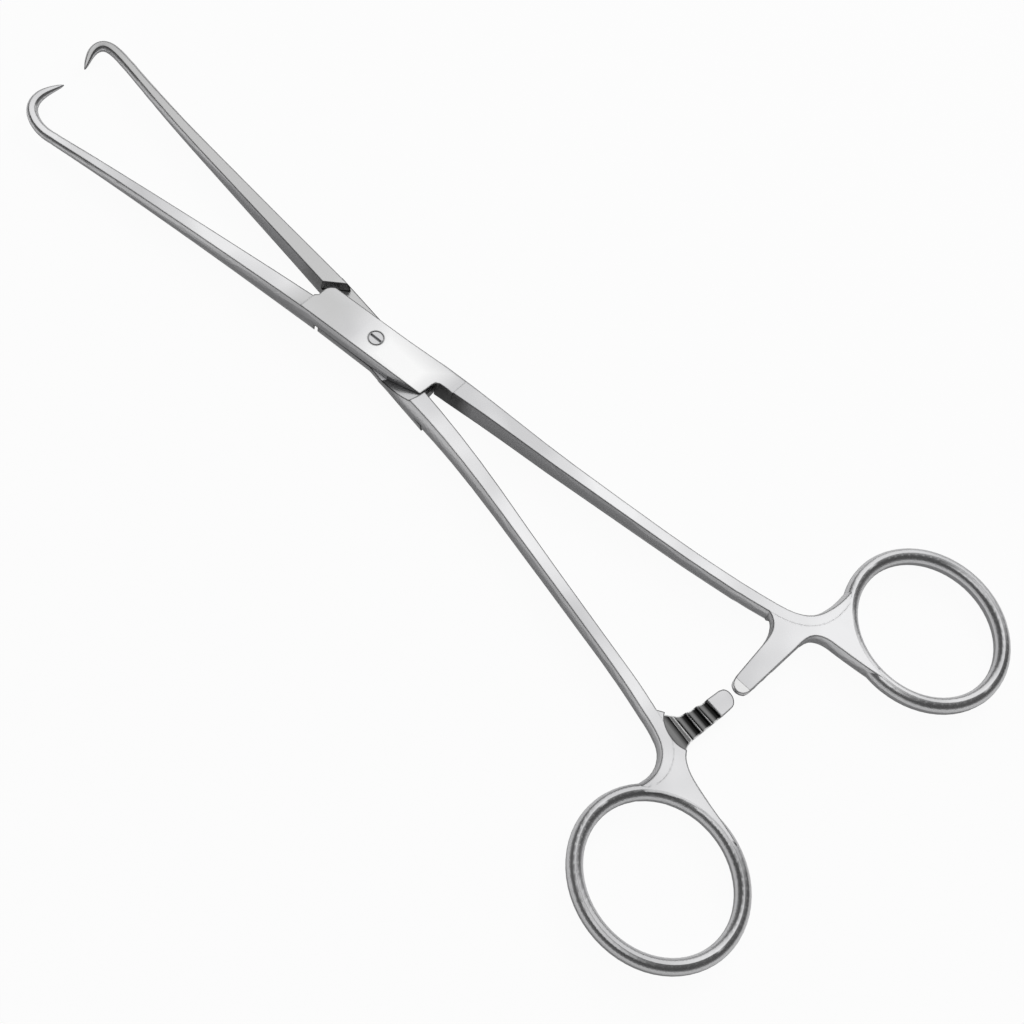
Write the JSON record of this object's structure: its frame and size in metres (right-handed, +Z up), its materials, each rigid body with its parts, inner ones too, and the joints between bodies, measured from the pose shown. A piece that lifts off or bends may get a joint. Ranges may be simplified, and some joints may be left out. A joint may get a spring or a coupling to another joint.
{
  "type": "tenaculum forceps",
  "caption": "Slender long-handled hooked grasping forceps of satin steel, with a screw lap joint, inward-curving sharp hooks, oval finger rings and a ratchet bar between the handles.",
  "frame": {"origin": "on the pivot axis, at the underside of the lap joint, where the forceps rests", "axes": "+Z up along the pivot axis, +X towards the hooks, +Y towards the jaw of the upper branch"},
  "size_m": [0.2502, 0.1181, 0.006],
  "materials": {
    "satin_steel": "satin, polished rings",
    "screw_steel": "satin"
  },
  "bodies": {
    "fixed_branch": {"lower_branch": "satin_steel", "pivot_screw": "screw_steel"},
    "moving_branch": {"upper_branch": "satin_steel"}
  },
  "joints": [
    {"name": "pivot", "type": "hinge", "parent": "fixed_branch", "child": "moving_branch", "pos_m": [0, 0, 0.003], "axis": [0, 0, 1], "range_deg": [-7, 45]}
  ]
}
